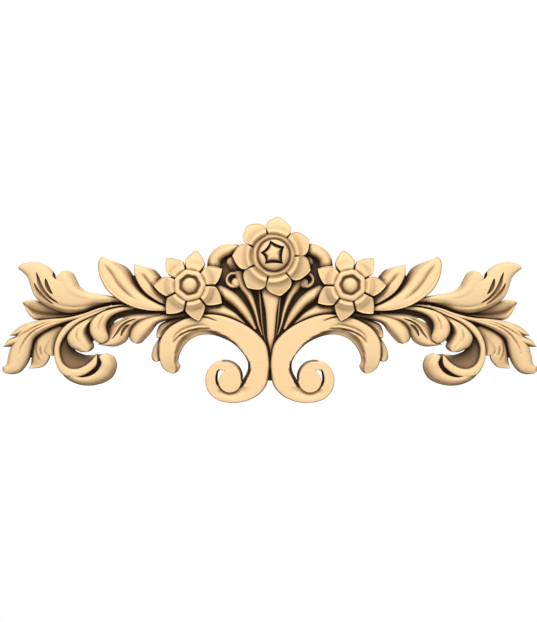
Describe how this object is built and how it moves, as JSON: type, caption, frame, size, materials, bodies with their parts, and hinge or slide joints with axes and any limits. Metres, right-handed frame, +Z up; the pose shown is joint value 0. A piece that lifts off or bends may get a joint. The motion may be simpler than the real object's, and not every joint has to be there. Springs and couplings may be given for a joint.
{
  "type": "furniture applique",
  "caption": "Carved wooden applique with scrolls, acanthus sprays and flowers in relief, flat behind, made to be glued to furniture or a wall.",
  "frame": {"origin": "on the flat back, on the middle line, behind the stem of the centre flower", "axes": "+X to the right seen from the front, +Y out of the back into the wall, +Z up; the carving faces -Y"},
  "size_m": [0.536, 0.03, 0.1858],
  "materials": {
    "carved_wood": "satin, bare pale wood"
  },
  "bodies": {
    "root": {"floral_applique": "carved_wood"}
  },
  "joints": []
}
